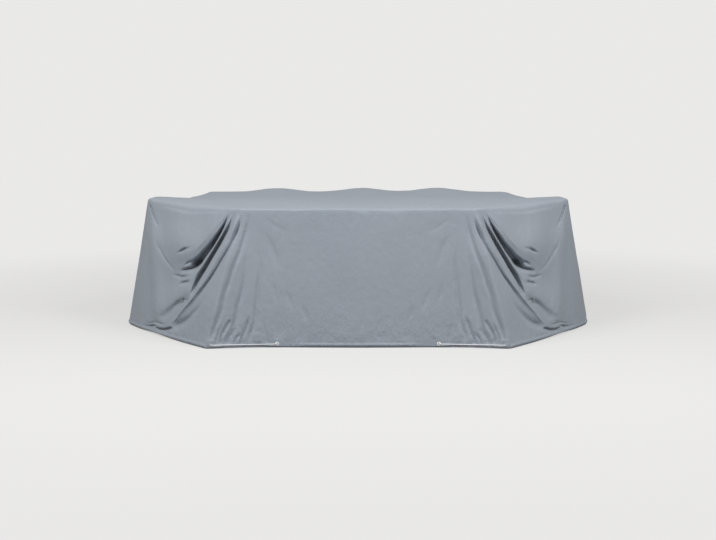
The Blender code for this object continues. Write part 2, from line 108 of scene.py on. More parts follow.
# name, top x, top y, top rise, hem x, hem y, roll of the top edge, columns since the row before
STATIONS = (
    ("front_centre", 0.000, -0.683, 0.000, 0.000, -0.738, 0.012, 0),
    ("eyelet_inner", 0.386, -0.683, 0.000, 0.430, -0.727, 0.012, 4),
    ("eyelet_outer", 0.426, -0.683, 0.000, 0.476, -0.726, 0.012, 1),
    ("front_plain", 0.570, -0.683, 0.000, 0.620, -0.733, 0.012, 3),
    ("corner_inner", 0.618, -0.683, 0.000, 0.710, -0.748, 0.012, 5),
    ("corner", 0.646, -0.676, 0.000, 0.836, -0.770, 0.014, 8),
    ("corner_outer", 0.672, -0.648, 0.000, 0.970, -0.608, 0.018, 8),
    ("panel_front", 0.700, -0.615, 0.000, 1.060, -0.492, 0.024, 6),
    ("panel_middle", 0.955, -0.318, -0.006, 1.110, -0.425, 0.045, 6),
    ("panel_back", 1.200, -0.040, 0.000, 1.150, -0.368, 0.030, 6),
    ("end_fan", 1.232, -0.006, 0.002, 1.176, -0.330, 0.020, 2),
    ("end_eyelet", 1.240, 0.004, 0.003, 1.206, -0.288, 0.018, 1),
    ("end_slope", 1.260, 0.030, 0.004, 1.300, -0.155, 0.018, 4),
    ("end_front", 1.268, 0.060, 0.006, 1.404, 0.030, 0.020, 4),
    ("end_back", 1.258, 0.235, 0.006, 1.406, 0.300, 0.025, 4),
    ("rear_hollow", 1.110, 0.390, -0.022, 1.245, 0.560, 0.045, 5),
    ("rear_fan", 0.992, 0.600, -0.004, 1.110, 0.710, 0.030, 4),
    ("rear_shoulder", 0.972, 0.690, 0.000, 1.060, 0.758, 0.020, 2),
    ("rear_plain", 0.900, 0.703, 0.000, 0.970, 0.766, 0.020, 2),
    ("rear_centre", 0.000, 0.705, 0.000, 0.000, 0.768, 0.020, 5),
)
STATION_COLUMNS = np.cumsum([row[-1] for row in STATIONS])
HALF_COLUMNS = int(STATION_COLUMNS[-1])
print(len(STATIONS), "rows,", 2 * HALF_COLUMNS, "columns round the cover")


# %% From the outline to a plain surface
def outline(columns):
    """Top x, y, rise, hem x, y and edge roll at columns, which are below 0 on the left half."""
    table = np.array([row[1:7] for row in STATIONS])
    rounding = np.linspace(-1, 1, 11)
    weights = np.cos(rounding * math.pi / 2) ** 2
    total = 0
    for shift, weight in zip(rounding, weights / weights.sum()):
        shifted = (columns + shift * CORNER_SOFTNESS + HALF_COLUMNS) % (2 * HALF_COLUMNS) - HALF_COLUMNS
        values = [np.interp(np.abs(shifted), STATION_COLUMNS, column) for column in table.T]
        values[0] = values[0] * np.sign(shifted)
        values[3] = values[3] * np.sign(shifted)
        total = total + weight * np.array(values)
    return total


def plain_surface(columns, ring):
    """Points of the plain cloth on one ring: -1 to 0 on the top, 0 to 1 round its edge, 1 to 2 down."""
    top_x, top_y, rise, hem_x, hem_y, roll = outline(columns)
    edge = np.stack((top_x, top_y, TOP_HEIGHT + rise), -1)
    hem = np.stack((hem_x, hem_y, np.zeros_like(hem_x)), -1)
    spine = np.stack((top_x * SPINE_REACH, np.full_like(top_x, SPINE_Y), edge[:, 2]), -1)
    inward = spine - edge
    inward /= np.linalg.norm(inward, axis=1, keepdims=True)
    down = hem - edge
    down /= np.linalg.norm(down, axis=1, keepdims=True)
    roll = roll[:, None]
    roll_start = edge + inward * roll
    roll_end = edge + down * roll
    if ring <= 0:
        points = roll_start + (spine - roll_start) * -ring
        points[:, 2] = TOP_HEIGHT + rise * (1 + ring) ** 2
    elif ring < 1:
        points = roll_start * (1 - ring) ** 2 + edge * 2 * ring * (1 - ring) + roll_end * ring**2
    else:
        points = roll_end + (hem - roll_end) * (ring - 1)
    return points


print("top of the wall at column 4:", plain_surface(np.array([4.0]), 1)[0].round(3))

# %% [markdown]
# ## Where the cords go through the cloth
# Each cord comes out of an eyelet in the front of the hem and goes in again through a plain hole at the
# corner. Each needs a level place, so it sits in the middle of one column of the outline, and its direction
# is square to the cloth there. Cords, knots, eyelets and cloth all read the same list, so that they meet.

# %% The places of the cord holes
CORD_HOLES = (("front", 4), ("corner", 19))  # name, first column of its level patch
PATCH_RING = 1.945
HOLE_RING = 1.972


def hole_places():
    """Name, first column, middle and outward direction of each cord hole. The middle is halfway through."""
    places = []
    for side, half in ((-1, "left"), (1, "right")):
        for name, first in CORD_HOLES:
            columns = side * np.array((first, first + 1.0))
            corners = np.array([plain_surface(columns, ring) for ring in (PATCH_RING, 2.0)])
            direction = side * Vector(np.cross(corners[1, 1] - corners[0, 0], corners[0, 1] - corners[1, 0]))
            direction = direction.normalized()
            down = (HOLE_RING - PATCH_RING) / (2 - PATCH_RING)
            middle = Vector(corners[0].mean(axis=0) * (1 - down) + corners[1].mean(axis=0) * down)
            middle -= direction * HEM_THICKNESS / 2
            places.append((f"{half}_{name}", side * first, middle, direction))
    return places


cord_holes = hole_places()
for name, first, middle, direction in cord_holes:
    print(name, [round(value, 3) for value in middle])

# %% [markdown]
# ## Shader maths in plain Python
# A finish is a net of nodes, and clicking them together hides the sums that they do. Here one output of a
# node is a Wire, and + - * / on it add the Math nodes, so a pattern reads as a formula. Every other node
# comes from one method, node, which sets its settings, then its sockets. A Geometry Nodes tree is such a net
# too, so it is built with the same method.

# %% Wires
class Wire:
    """One output of a node, with plain arithmetic."""

    def __init__(self, net, socket):
        self.net, self.socket = net, socket

    def beside(self, name):
        """Another output of the same node."""
        return Wire(self.net, self.socket.node.outputs[name])

    def math(self, operation, *others):
        values = dict(enumerate((self, *others)))
        return self.net.node("ShaderNodeMath", {"operation": operation}, values)

    def __add__(self, other):
        return self.math("ADD", other)

    def __sub__(self, other):
        return self.math("SUBTRACT", other)

    def __rsub__(self, other):
        return self.net.node("ShaderNodeMath", {"operation": "SUBTRACT"}, {0: other, 1: self})

    def __mul__(self, other):
        return self.math("MULTIPLY", other)

    def __truediv__(self, other):
        return self.math("DIVIDE", other)

    __radd__ = __add__
    __rmul__ = __mul__


print("wires take + - * and /")


# %% Nets and finishes
class Net:
    """A tree of nodes, with one method for every node that it needs."""

    def __init__(self, tree):
        self.tree = tree

    def set(self, node, sockets):
        for name, value in sockets.items():
            socket = {each.identifier: each for each in node.inputs}.get(name) or node.inputs[name]
            if isinstance(value, Wire):
                self.tree.links.new(value.socket, socket)
            else:
                socket.default_value = value

    def node(self, kind, settings=None, sockets=None, output=0):
        made = self.tree.nodes.new(kind)
        for name, value in (settings or {}).items():
            setattr(made, name, value)
        self.set(made, sockets or {})
        if output is None:
            return None
        found = {each.identifier: each for each in made.outputs}.get(output) or made.outputs[output]
        return Wire(self, found)


class Finish(Net):
    """A material or, where its home is the worlds, a world. Its shader is there from the start."""

    def __init__(self, name, home=bpy.data.materials, shader="Principled BSDF"):
        self.finished = home.new(name)
        self.finished.use_nodes = True
        super().__init__(self.finished.node_tree)
        self.shader = self.tree.nodes[shader]

    def place(self):
        return self.node("ShaderNodeTexCoord", None, None, "Object")

    def noise(self, place, scale, detail=2.0, roughness=0.5, stretch=None):
        if stretch:
            place = self.node("ShaderNodeMapping", None, {"Vector": place, "Scale": stretch})
        sockets = {"Vector": place, "Scale": scale, "Detail": detail, "Roughness": roughness}
        return self.node("ShaderNodeTexNoise", None, sockets)

    def blend(self, share, first, second):
        sockets = {"Factor_Float": share, "A_Color": first, "B_Color": second}
        return self.node("ShaderNodeMix", {"data_type": "RGBA"}, sockets, "Result_Color")

    def bump(self, height, distance, strength, **more):
        sockets = {"Height": height, "Distance": distance, "Strength": strength, **more}
        return self.node("ShaderNodeBump", None, sockets, "Normal")

    def surface(self, **sockets):
        self.set(self.shader, {name.replace("_", " "): value for name, value in sockets.items()})
        return self.finished


print("nets and finishes ready")

# %% [markdown]
# ## A smooth line through given points
# Cords and folds both follow a few given points. A spline through them must not overshoot where the
# points lie unevenly, or a cord would kink at its eyelet. So each span is weighed by its length.

# %% The line
def eased(value):
    """0 below 0, 1 above 1 and a smooth step between."""
    value = np.clip(value, 0, 1)
    return value * value * (3 - 2 * value)


def smooth_path(points, span_points):
    """A smooth curve through all the given points, with span_points steps from each one to the next."""
    points = np.array(points, float)
    length = np.linalg.norm(np.diff(points, axis=0), axis=1, keepdims=True)
    slope = np.diff(points, axis=0) / length
    tangent = np.vstack((slope[:1], slope, slope[-1:]))
    reach = np.vstack((length[:1], length, length[-1:]))
    tangent = (tangent[:-1] * reach[1:] + tangent[1:] * reach[:-1]) / (reach[:-1] + reach[1:])
    tangent[0] = 1.5 * slope[0] - 0.5 * tangent[1]
    tangent[-1] = 1.5 * slope[-1] - 0.5 * tangent[-2]
    tangent /= np.linalg.norm(tangent, axis=1, keepdims=True)
    place = np.linspace(0, len(points) - 1, span_points * (len(points) - 1) + 1)
    span = np.minimum(place.astype(int), len(points) - 2)
    t = (place - span)[:, None]
    start, end = points[span], points[span + 1]
    return (
        start * (1 - t) ** 2 * (1 + 2 * t)
        + end * t**2 * (3 - 2 * t)
        + tangent[span] * length[span] * t * (1 - t) ** 2
        - tangent[span + 1] * length[span] * t**2 * (1 - t)
    )


def line_length(line):
    return float(np.linalg.norm(np.diff(line, axis=0), axis=1).sum())


print(f"two legs of 1 make a smooth turn {line_length(smooth_path([(0, 0), (1, 0), (1, 1)], 8)):.3f} long")

# %% [markdown]
# ## The draw cords
# Each cord is a thin white plait, 38 cm long. It comes out of the front eyelet, bends, runs taut along the
# hem, a little clear of it, and bends into the hole at the corner. A curve with a bevel would give a smooth
# wire. A plait needs a surface that rises where a strand passes over, so the tube is made ring by ring, and
# its radius follows two sets of strands that wind opposite ways.

# %% The cord's route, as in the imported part
CORD_DIAMETER = 0.006
CORD_BEND = 0.0168  # radius of the turn from the hole to the run along the hem
CORD_MIDDLE = ((0.500, -0.7450), (0.620, -0.7568), (0.735, -0.7685))  # x, y of the taut run, right half
CORNER_HOLE = 0.0085
KNOT_DIAMETER = 0.016
EYELET_HOLE = 0.010
EYELET_FLANGE = 0.0012
EYELET_GAP = 0.0004
KNOT_GAP = 0.0005
LINE_STEPS = 12  # from one given point of a cord to the next


def knot_distance(name):
    """How far behind the middle of its hole a knot lies, pulled up to the eyelet or the cloth."""
    back, hole = HEM_THICKNESS / 2, CORNER_HOLE
    if name.endswith("front"):
        back, hole = back + EYELET_GAP + EYELET_FLANGE, EYELET_HOLE
    return back + math.sqrt((KNOT_DIAMETER / 2) ** 2 - (hole / 2) ** 2) + KNOT_GAP


def hole_bend(name, middle, direction, onward):
    """Points of a cord that comes out of its hole, a gap off its knot, and bends to run along the cloth."""
    onward = (onward - direction * onward.dot(direction)).normalized()
    start = KNOT_DIAMETER / 2 + KNOT_GAP - knot_distance(name)
    points = []
    for turn in (0, 30, 60, 90):
        out = start + CORD_BEND * math.sin(math.radians(turn))
        along = CORD_BEND * (1 - math.cos(math.radians(turn)))
        points.append(middle + direction * out + onward * along)
    return points


def cord_line(half, side):
    """The draw cord's line: out of the front eyelet, straight along the hem, and into the corner hole."""
    ends = {name: (name, middle, direction) for name, first, middle, direction in cord_holes}
    front, corner = ends[f"{half}_front"], ends[f"{half}_corner"]
    start = hole_bend(*front, corner[1] - front[1])
    stop = hole_bend(*corner, front[1] - corner[1])
    taut = []
    for x, y in CORD_MIDDLE:
        share = (x - abs(start[-1].x)) / (abs(stop[-1].x) - abs(start[-1].x))
        taut.append(Vector((side * x, y, start[-1].z * (1 - share) + stop[-1].z * share)))
    return smooth_path(start + taut + stop[::-1], LINE_STEPS)


print(f"cord length {line_length(cord_line('right', 1)):.3f} m")

# %% The plaited tube
PLAIT_STRANDS = 8  # winding each way
PLAIT_TURN = 0.020  # length of cord in one turn of a strand
PLAIT_RELIEF = 0.09  # share of the radius by which a strand rises
STRAND_ROUNDNESS = 0.7
END_LENGTH = 0.6  # share of the radius over which an end rounds off
END_TAPER = 0.12
TUBE_SIDES = 24
RING_STEP = 0.0010


def even_line(line, step):
    """The same line with points a step apart."""
    reach = np.concatenate(([0], np.cumsum(np.linalg.norm(np.diff(line, axis=0), axis=1))))
    places = np.linspace(0, reach[-1], max(8, round(reach[-1] / step)))
    return np.stack([np.interp(places, reach, values) for values in line.T], -1), places


def plaited_tube(name, line, radius, material, sides=TUBE_SIDES, step=RING_STEP):
    """A closed tube along a line, whose surface rises and falls as a plait does."""
    points, reach = even_line(np.array(line, float), step)
    along = np.gradient(points, axis=0)
    along /= np.linalg.norm(along, axis=1, keepdims=True)
    across = np.cross(along[0], (0.3, 0.2, 1.0))  # any way that no cord sets out in
    shape = bmesh.new()
    layer = shape.loops.layers.uv.new("cord")
    angles = np.arange(sides) * 2 * math.pi / sides
    rings = []
    for k, (place, way) in enumerate(zip(points, along)):
        across = across - way * (across @ way)
        across /= np.linalg.norm(across)
        up = np.cross(way, across)
        wind = 2 * math.pi * reach[k] / PLAIT_TURN
        one_way = np.cos(PLAIT_STRANDS / 2 * angles + wind * PLAIT_STRANDS / 4)
        other_way = np.cos(PLAIT_STRANDS / 2 * angles - wind * PLAIT_STRANDS / 4)
        over = np.abs(np.where(one_way * other_way > 0, one_way, other_way)) ** STRAND_ROUNDNESS
        end = min(reach[k], reach[-1] - reach[k]) / (radius * END_LENGTH)
        round_end = math.sqrt(max(END_TAPER, 1 - max(0, 1 - end) ** 2))
        swell = radius * round_end * (1 - PLAIT_RELIEF + PLAIT_RELIEF * over)
        ring = place + swell[:, None] * (np.cos(angles)[:, None] * across + np.sin(angles)[:, None] * up)
        rings.append([shape.verts.new(point) for point in ring])
    for k, (here, there) in enumerate(zip(rings, rings[1:])):
        for side in range(sides):
            after = (side + 1) % sides
            face = shape.faces.new((here[side], here[after], there[after], there[side]))
            corners = ((side, k), (side + 1, k), (side + 1, k + 1), (side, k + 1))
            for loop, (turn, length) in zip(face.loops, corners):
                loop[layer].uv = (turn / sides, reach[length])
    for ring, place in ((rings[0][::-1], points[0]), (rings[-1], points[-1])):
        pole = shape.verts.new(place)
        for here, there in zip(ring, ring[1:] + ring[:1]):
            shape.faces.new((here, there, pole))
    bmesh.ops.recalc_face_normals(shape, faces=shape.faces)
    return add_piece(name, shape, material)


print(f"a ring of {TUBE_SIDES} corners every {RING_STEP * 1000:g} mm")

# %% [markdown]
# ### The cord's finish
# Bleached polyester: nearly white, and matt with a soft sheen. The plait is in the mesh, so the finish only
# adds what is finer: the fibres, which run along the cord and wander, and a grey that gathers in patches.

# %% Cord finish
CORD_WHITE = (0.72, 0.72, 0.74, 1)
CORD_GREY = (0.52, 0.52, 0.54, 1)


def cord_finish():
    made = Finish("draw_cord_polyester")
    along = made.node("ShaderNodeUVMap", {"uv_map": "cord"})
    fibres = made.noise(along, 1.0, 3.0, 0.6, (40.0, 900.0, 1.0))
    patches = made.noise(made.place(), 9.0, 3.0, 0.6)
    grey = (patches - 0.45) * 1.2 + (fibres - 0.5) * 0.5
    shade = made.blend(grey.math("MAXIMUM", 0.0), CORD_WHITE, CORD_GREY)
    relief = made.bump(fibres, 0.0002, 0.5)
    return made.surface(Base_Color=shade, Roughness=fibres * 0.2 + 0.62, Normal=relief, Sheen_Weight=0.3)


cord_polyester = cord_finish()
print("cord finish", len(cord_polyester.node_tree.nodes), "nodes")

# %% [markdown]
# ### The knots
# Behind its hole each end of the cord is tied in a plain overhand knot that can't slip through. It hardly
# shows, so a round bead might do, but a real knot is as easy: the line of a three-lobed knot is one formula,
# and the same plaited tube follows it.

# %% The knots
KNOT_STRAND = 0.0037
KNOT_TAIL = 0.014
KNOT_RING, KNOT_WAVE = 0.62, 0.34  # how far out its lobes lie and how far they swing, of the room in it
KNOT_SIDES = 12
KNOT_STEP = 0.0012


def facing(middle, direction):
    """The place of a piece whose own axis is Z, with that axis along a direction."""
    return Matrix.Translation(middle) @ direction.to_track_quat("Z", "Y").to_matrix().to_4x4()


def knot_line():
    """In from the cord, round the three lobes of the knot, and out in a short tail that hangs behind."""
    room = KNOT_DIAMETER / 2 - KNOT_STRAND / 2
    wave, ring = room * KNOT_WAVE, room * KNOT_RING
    lobes = []
    for turn in np.linspace(0.10, 0.93, 40) * 2 * math.pi:
        out = ring + wave * math.cos(3 * turn)
        lobes.append((out * math.cos(2 * turn), out * math.sin(2 * turn), wave * math.sin(3 * turn)))
    head = [(0, 0, KNOT_DIAMETER / 2 - 0.0002), (0.0006, 0.0004, KNOT_DIAMETER * 0.33)]
    tail = [(lobes[-1][0] * 0.9, lobes[-1][1] * 0.9, -KNOT_DIAMETER * 0.35), (0.004, -0.002, -KNOT_TAIL)]
    return head + lobes + tail


for name, first, middle, direction in cord_holes:
    at = facing(middle - direction * knot_distance(name), direction)
    line = smooth_path([tuple(at @ Vector(point)) for point in knot_line()], 3)
    knot = plaited_tube(f"tied_{name}_knot", line, KNOT_STRAND / 2, cord_polyester, KNOT_SIDES, KNOT_STEP)
    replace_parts(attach(knot, "root"), f"{name}_knot")

# %% The cords
for side, half in ((-1, "left"), (1, "right")):
    line = cord_line(half, side)
    cord = plaited_tube(f"plaited_{half}_draw_cord", line, CORD_DIAMETER / 2, cord_polyester)
    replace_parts(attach(cord, "root"), f"{half}_draw_cord")
    print(cord.name, f"{line_length(line):.3f} m,", triangles(cord), "triangles")

# %% [markdown]
# ## The folds
# The loose cloth of each front corner is pulled sideways and back, so that it falls into a fan of slanting
# folds. Cloth simulation would make folds too, but not these ones. Instead every fold is a traced path,
# seen straight from the front, with how deep and how wide it is. A trough pushes the cloth back and a
# ridge brings it forward, and one function adds them all up. The imported part has the main folds too, and
# leaves out the fine creases, which need more faces than it may have.

# %% The table of folds
# name, depth, first width, second width, edge, share of width at start, grows over, fades over, path.
# Depth, widths and path are in millimetres. The widths of a fold that runs down are on the side of the
# cover's end and on the side of its middle. Those of one that hangs are above and below it. Its sides are
# round (edge 2) or steep (4). It grows and fades over a share of its path.
FOLDS = (
    ("main_swag", -28, 75, 30, 2, 0.4, 0.3, 0.8, ((717, 738), (757, 682), (808, 624), (862, 570), (914, 525),
     (962, 485), (1012, 455), (1070, 440))),
    ("deep_trough", 122, 25, 18, 3, 0.15, 1, 0.2, ((706, 735), (727, 695), (750, 650), (779, 601), (809, 552),
     (844, 505), (881, 458), (910, 428), (935, 408))),
    ("trough_core", 45, 9, 7, 2, 0.5, 0.5, 0.5, ((706, 728), (722, 695), (743, 652), (770, 606), (799, 562),
     (827, 520), (858, 478))),
    ("trough_tail", 42, 9, 10, 2, 0.9, 0.1, 0.4, ((871, 457), (903, 428), (929, 408), (962, 400), (995, 388),
     (1022, 377))),
    ("thin_ridge", -14, 8, 8, 2, 0.6, 0.2, 0.3, ((695, 734), (712, 697), (732, 651), (760, 604), (787, 557),
     (816, 510), (849, 463), (882, 417), (918, 369), (940, 341), (978, 298))),
    ("second_trough", 52, 11, 11, 4, 0.5, 0.4, 0.3, ((676, 736), (691, 699), (712, 653), (739, 606),
     (767, 559), (795, 515), (824, 468), (853, 419), (883, 372), (908, 326), (924, 285), (938, 255))),
    ("second_ridge", -18, 14, 14, 2, 0.6, 0.15, 0.2, ((655, 739), (665, 701), (683, 656), (706, 611),
     (730, 565), (758, 518), (786, 472), (812, 425), (853, 355), (884, 309), (947, 225), (999, 165),
     (1040, 112), (1078, 71))),
    ("third_trough", 21, 8, 8, 2, 0.6, 0.25, 0.3, ((633, 731), (642, 698), (656, 656), (675, 612), (696, 567),
     (721, 523), (748, 478), (776, 431), (807, 384), (842, 337), (874, 289), (906, 240), (945, 190))),
    ("front_bulge", -22, 75, 85, 2, 0.4, 0.35, 0.3, ((655, 680), (730, 480), (810, 290), (880, 110))),
    ("fourth_trough", 36, 24, 10, 2, 0.4, 0.8, 0.2, ((831, 296), (856, 250), (880, 208), (912, 171),
     (943, 134), (981, 101), (1021, 74), (1041, 50))),
    ("second_swag", -30, 55, 34, 2, 0.45, 0.35, 0.5, ((880, 410), (905, 370), (932, 329), (964, 295),
     (1003, 261), (1044, 227), (1083, 178), (1109, 152), (1160, 120))),
    ("under_swag", 18, 18, 16, 2, 0.6, 0.3, 0.4, ((990, 228), (1008, 212), (1042, 184), (1075, 151),
     (1108, 112), (1144, 86))),
    ("eye_crease_1", 26, 6, 9, 2, 0.6, 0.45, 0.55, ((1048, 476), (1021, 488), (998, 501), (980, 511),
     (959, 518), (927, 525))),
    ("eye_crease_2", 18, 7, 9, 2, 0.6, 0.4, 0.35, ((1076, 352), (1041, 350), (1007, 348), (980, 355),
     (953, 366))),
    ("eye_crease_3", 26, 8, 10, 2, 0.6, 0.4, 0.35, ((1032, 302), (995, 318), (966, 328), (935, 342))),
    ("end_swag", 9, 8, 18, 2, 0.6, 0.3, 0.3, ((1185, 560), (1165, 500), (1141, 471), (1123, 442), (1098, 413),
     (1072, 388), (1040, 364))),
    ("end_crease", 22, 5, 7, 2, 0.5, 0.3, 0.35, ((1254, 737), (1240, 712), (1207, 654), (1168, 600))),
    ("end_ridge", -18, 50, 50, 2, 0.4, 0.3, 0.2, ((1245, 735), (1190, 502), (1162, 250), (1150, 30))),
    ("front_pleat_1", 10, 13, 11, 2, 0.6, 0.15, 0.1, ((586, 756), (608, 647), (641, 536), (680, 438),
     (710, 345), (732, 284), (743, 223), (762, 167), (781, 121), (792, 88), (803, 20))),
    ("front_pleat_2", 12, 15, 12, 2, 0.6, 0.5, 0.05, ((592, 657), (609, 508), (620, 401), (637, 298),
     (659, 224), (668, 177), (681, 126), (695, 79), (711, 56), (717, 10))),
    ("front_pleat_3", 10, 13, 11, 2, 0.6, 0.4, 0.1, ((548, 671), (544, 536), (534, 438), (547, 317),
     (551, 261), (559, 214), (563, 154), (576, 107), (588, 75), (584, 15))),
    ("front_pleat_4", 5, 20, 18, 2, 0.6, 0.4, 0.4, ((499, 629), (473, 564), (451, 494), (429, 415))),
    ("hem_pleat_1", 11, 10, 9, 2, 0.6, 0.3, 0.08, ((697, 160), (706, 144), (724, 112), (738, 88), (747, 70),
     (749, 10))),
    ("hem_pleat_2", 10, 10, 9, 2, 0.6, 0.3, 0.08, ((590, 185), (603, 144), (617, 102), (628, 75), (638, 51),
     (642, 10))),
    ("corner_pucker_1", 34, 8, 7, 2, 0.7, 0.2, 0.25, ((1056, 61), (1083, 47), (1112, 33), (1148, 25),
     (1195, 27))),
    ("corner_pucker_2", 10, 7, 7, 2, 0.6, 0.3, 0.35, ((1099, 68), (1135, 61), (1171, 62), (1225, 44),
     (1280, 39))),
)
FINE_CREASES = (
    ("panel_edge", -5, 7, 7, 2, 0.7, 0.2, 0.4, ((708, 739), (800, 643), (874, 553), (938, 485))),
    ("crumple", 13, 6, 7, 2, 0.8, 0.25, 0.4, ((955, 233), (968, 229), (986, 232), (987, 218), (1001, 200),
     (1009, 164))),
    ("ridge_line", -6, 4, 4, 2, 0.8, 0.2, 0.2, ((853, 355), (884, 309), (947, 225), (999, 165), (1040, 112),
     (1078, 71))),
    ("trough_prong", 16, 6, 8, 2, 0.8, 0.3, 0.4, ((890, 480), (904, 471), (927, 451), (956, 440), (976, 425),
     (994, 414))),
    ("swag_edge", -6, 8, 8, 2, 0.6, 0.4, 0.4, ((1156, 522), (1125, 469), (1087, 421), (1050, 382))),
    ("corner_pucker_3", 28, 7, 7, 2, 0.6, 0.4, 0.4, ((1165, 42), (1195, 34), (1223, 26), (1285, 26))),
    ("front_crease_1", 4, 10, 10, 2, 0.6, 0.4, 0.4, ((461, 373), (458, 307), (440, 233))),
    ("front_crease_2", 2, 12, 12, 2, 0.6, 0.4, 0.4, ((515, 717), (473, 685), (429, 652), (378, 633))),
    ("front_crease_4", 4, 11, 11, 2, 0.6, 0.4, 0.4, ((398, 331), (376, 261), (357, 196))),
    ("front_crease_5", 4, 11, 11, 2, 0.6, 0.4, 0.4, ((307, 247), (289, 182), (271, 121))),
    ("hem_pleat_3", 6, 8, 8, 2, 0.6, 0.4, 0.08, ((645, 90), (657, 65), (671, 47), (677, 10))),
    ("hem_pleat_4", 4, 9, 9, 2, 0.6, 0.4, 0.15, ((528, 180), (514, 107), (506, 65), (497, 15))),
    ("hem_pleat_5", 5, 8, 8, 2, 0.6, 0.4, 0.08, ((668, 116), (679, 98), (695, 60), (699, 10))),
    ("hem_pleat_6", 5, 8, 8, 2, 0.6, 0.4, 0.08, ((735, 160), (752, 110), (768, 70), (776, 10))),
)
PUSHED_OUTWARDS = "end_ridge"  # the others are pushed to the front
FOLD_STEPS = 8  # from one point of a path to the next
FOLD_REACH = 3  # widths at which a fold no longer counts
RIGHT_SHIFT = 0.003  # the right half's folds are the left half's, but a little aside and shallower
RIGHT_DEPTH = 0.96
MIDDLE_BLEND = 0.125  # from the middle, where one half's folds become the other's
print(len(FOLDS), "folds and", len(FINE_CREASES), "fine creases on each half")

# %% [markdown]
# ### What else shapes the cloth
# Between its folds the cloth isn't flat either. It puffs out beside the deepest fold, stands up in three
# waves along the rear of the top, hangs in soft drapes on the ends and the back, and is a little slack all
# over. At the hem it is turned under, and away from the cords the hem's channel stands out. Each of these is
# one small rule with its sizes, because a table of traced paths would say no more.

# %% Bulges, drapes, slack and hem
# name, height, middle x and z, reach in x and z
BULGES = (
    ("panel_belly", 0.060, 1.010, 0.530, 0.140, 0.130),
    ("trough_puff", 0.012, 0.948, 0.265, 0.024, 0.034),
)
# name, middle x and y, height, reach in x and y
TOP_BUMPS = (
    ("rear_left_back", -0.530, 0.690, 0.024, 0.165, 0.200),
    ("rear_middle_back", 0.030, 0.690, 0.026, 0.165, 0.200),
    ("rear_right_back", 0.520, 0.690, 0.025, 0.165, 0.200),
)
BUMP_HANG = 0.30  # how far down the wall a bump still lifts the cloth
# column at the top edge (below 0 on the left half), columns that it leans by on its way down, depth, width in
# columns, and the share of the way down at which it starts
DRAPES = (
    (59.6, 0.5, 0.012, 0.7, 0.20), (61.8, 0.9, 0.016, 0.7, 0.00), (64.4, -0.6, 0.012, 0.8, 0.25),
    (66.6, 0.6, 0.018, 0.7, 0.00), (69.3, -0.5, 0.014, 0.6, 0.15), (71.6, 0.7, 0.020, 0.5, 0.00),
    (73.4, 0.6, 0.020, 0.45, 0.00), (74.9, 0.35, 0.014, 0.34, 0.05), (76.1, -0.25, 0.013, 0.30, 0.25),
    (77.4, 0.20, 0.014, 0.28, 0.15), (78.9, -0.30, 0.013, 0.30, 0.30),
    (-60.4, -0.7, 0.013, 0.8, 0.10), (-62.5, 0.5, 0.012, 0.6, 0.30), (-65.1, -0.8, 0.017, 0.7, 0.00),
    (-67.4, 0.4, 0.015, 0.7, 0.10), (-70.4, -0.6, 0.018, 0.6, 0.00), (-72.5, -0.5, 0.019, 0.45, 0.00),
    (-74.2, -0.5, 0.016, 0.40, 0.00), (-75.5, 0.30, 0.012, 0.30, 0.25), (-76.9, -0.25, 0.015, 0.30, 0.10),
    (-78.2, 0.20, 0.012, 0.28, 0.35), (-79.6, -0.25, 0.014, 0.30, 0.20),
)
DRAPE_GROWS = 0.45
DRAPE_TOP_WIDTH, DRAPE_SPREAD = 0.5, 0.6  # shares of its width
# size of a wave, how many times as tall as wide, height
SLACK = ((0.30, 1.2, 0.0035), (0.07, 5.0, 0.0020), (0.035, 2.0, 0.0004))
SLACK_APART = 7  # so that no two sizes have the same pattern
CORD_FROM, CORD_TO = 5.1, 19.0  # columns between which a cord runs outside the cloth
CHANNEL, CHANNEL_LOW, CHANNEL_HEIGHT, CHANNEL_ROUNDNESS = 0.004, 0.007, 0.020, 1.3
CHANNEL_BEFORE, CHANNEL_AFTER = 2.6, 3  # columns that it stops short of the cord
TURN, TURN_HEIGHT, TURN_BESIDE_CORD = 0.0065, 0.0095, 0.0085
TURN_EASE = (0.8, 6)
GATHER_MIDDLE, GATHER_SIZE, GATHER_LIFT, GATHER_HEIGHT, GATHER_DEPTH = 1.17, 0.10, 0.010, 0.2, 0.1
print(len(DRAPES), "drapes and", len(SLACK), "sizes of slack")

# %% How far the folds push the wall
def fold_line(name, depth, first, second, *form, path):
    """A fold in metres, with its path as a smooth line."""
    way = "out" if name == PUSHED_OUTWARDS else "front"
    line = smooth_path(np.array(path) / 1000, FOLD_STEPS)
    return way, depth / 1000, first / 1000, second / 1000, *form, line


FOLD_LINES = [fold_line(*row[:-1], path=row[-1]) for row in FOLDS + FINE_CREASES]


